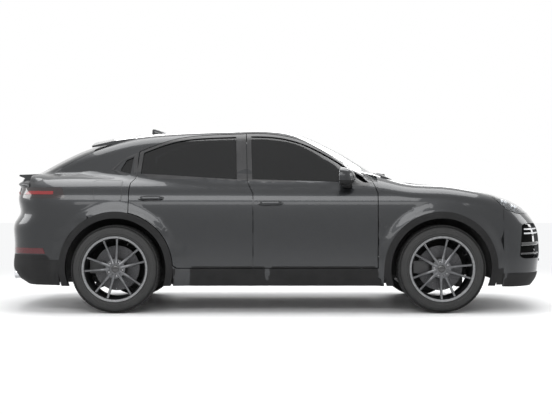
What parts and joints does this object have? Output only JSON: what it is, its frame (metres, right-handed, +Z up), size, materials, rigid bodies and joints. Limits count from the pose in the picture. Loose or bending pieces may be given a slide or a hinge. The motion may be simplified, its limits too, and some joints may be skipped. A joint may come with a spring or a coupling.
{
  "type": "coupe sport utility vehicle",
  "caption": "Coupe-roofed sport utility vehicle with hollow cabin, opening doors, bonnet and tailgate, steering front wheels and rolling wheels.",
  "frame": {"origin": "on the ground under the middle of the car's length and width", "axes": "+X forward, +Y to the car's left, +Z up"},
  "size_m": [4.9226, 2.1612, 1.6725],
  "materials": {
    "paint": "dark grey metallic with clear coat",
    "glass": "dark tinted",
    "clear_glass": "tinted windscreen",
    "trim": "grained black plastic",
    "gloss_trim": "gloss black",
    "rubber": "black rubber",
    "rim": "dark grey satin alloy",
    "iron": "cast",
    "red_lens": "dark red lens",
    "lamp": "clear lens",
    "underseal": "matt underseal",
    "leather": "black leather"
  },
  "bodies": {
    "body": {"left_body_side": "paint", "right_body_side": "paint", "roof": "paint", "windscreen": "clear_glass", "scuttle": "trim", "left_front_fender": "paint", "right_front_fender": "paint", "front_bumper": "paint", "grille": "gloss_trim", "headlamps": "lamp", "rear_bumper": "paint", "rear_valance": "trim", "tail_lamps": "red_lens", "quarter_windows": "glass", "left_arch_trim": "trim", "right_arch_trim": "trim", "underbody": "underseal", "wheel_wells": "underseal", "engine": "iron", "front_subframe": "iron", "rear_subframe": "iron", "dashboard": "leather", "centre_console": "trim", "front_seats": "leather", "rear_seat": "leather", "rear_left_knuckle": "iron", "rear_right_knuckle": "iron"},
    "left_front_door": {"left_front_door": "paint", "left_front_window": "glass", "left_door_mirror": "paint"},
    "right_front_door": {"right_front_door": "paint", "right_front_window": "glass", "right_door_mirror": "paint"},
    "left_rear_door": {"left_rear_door": "paint", "left_rear_window": "glass"},
    "right_rear_door": {"right_rear_door": "paint", "right_rear_window": "glass"},
    "bonnet": {"bonnet": "paint"},
    "tailgate": {"tailgate": "paint", "rear_window": "glass", "light_bar": "red_lens", "roof_spoiler": "gloss_trim", "deck_spoiler": "paint"},
    "steering_wheel": {"steering_wheel": "leather"},
    "left_knuckle": {"front_left_knuckle": "iron"},
    "right_knuckle": {"front_right_knuckle": "iron"},
    "front_left_wheel": {"front_left_wheel": "rim", "front_left_tyre": "rubber"},
    "front_right_wheel": {"front_right_wheel": "rim", "front_right_tyre": "rubber"},
    "rear_left_wheel": {"rear_left_wheel": "rim", "rear_left_tyre": "rubber"},
    "rear_right_wheel": {"rear_right_wheel": "rim", "rear_right_tyre": "rubber"}
  },
  "joints": [
    {"name": "left_front_door_swing", "type": "hinge", "parent": "body", "child": "left_front_door", "pos_m": [0.8965, 0.95, 0.7], "axis": [0, 0, -1], "range_deg": [0, 65]},
    {"name": "right_front_door_swing", "type": "hinge", "parent": "body", "child": "right_front_door", "pos_m": [0.8965, -0.95, 0.7], "axis": [0, 0, 1], "range_deg": [0, 65]},
    {"name": "left_rear_door_swing", "type": "hinge", "parent": "body", "child": "left_rear_door", "pos_m": [-0.2145, 0.95, 0.7], "axis": [0, 0, -1], "range_deg": [0, 68]},
    {"name": "right_rear_door_swing", "type": "hinge", "parent": "body", "child": "right_rear_door", "pos_m": [-0.2145, -0.95, 0.7], "axis": [0, 0, 1], "range_deg": [0, 68]},
    {"name": "bonnet_lift", "type": "hinge", "parent": "body", "child": "bonnet", "pos_m": [0.915, 0, 1.216], "axis": [0, -1, 0], "range_deg": [0, 55]},
    {"name": "tailgate_lift", "type": "hinge", "parent": "body", "child": "tailgate", "pos_m": [-1.2885, 0, 1.6185], "axis": [0, 1, 0], "range_deg": [0, 62]},
    {"name": "left_steer", "type": "hinge", "parent": "body", "child": "left_knuckle", "pos_m": [1.46, 0.768, 0.39], "axis": [0, 0, 1], "range_deg": [-33, 33]},
    {"name": "right_steer", "type": "hinge", "parent": "body", "child": "right_knuckle", "pos_m": [1.46, -0.768, 0.39], "axis": [0, 0, 1], "range_deg": [-33, 33]},
    {"name": "steering_wheel_turn", "type": "hinge", "parent": "body", "child": "steering_wheel", "pos_m": [0.52, 0.39, 0.985], "axis": [-0.9135, 0, 0.4067], "range_deg": [-470, 470]},
    {"name": "front_left_spin", "type": "hinge", "parent": "left_knuckle", "child": "front_left_wheel", "pos_m": [1.46, 0.84, 0.39], "axis": [0, 1, 0], "continuous": true},
    {"name": "front_right_spin", "type": "hinge", "parent": "right_knuckle", "child": "front_right_wheel", "pos_m": [1.46, -0.84, 0.39], "axis": [0, 1, 0], "continuous": true},
    {"name": "rear_left_spin", "type": "hinge", "parent": "body", "child": "rear_left_wheel", "pos_m": [-1.435, 0.8365, 0.39], "axis": [0, 1, 0], "continuous": true},
    {"name": "rear_right_spin", "type": "hinge", "parent": "body", "child": "rear_right_wheel", "pos_m": [-1.435, -0.8365, 0.39], "axis": [0, 1, 0], "continuous": true}
  ],
  "couplings": [
    {"joint": "right_steer", "follows": "left_steer", "ratio": 1},
    {"joint": "steering_wheel_turn", "follows": "left_steer", "ratio": 14}
  ]
}
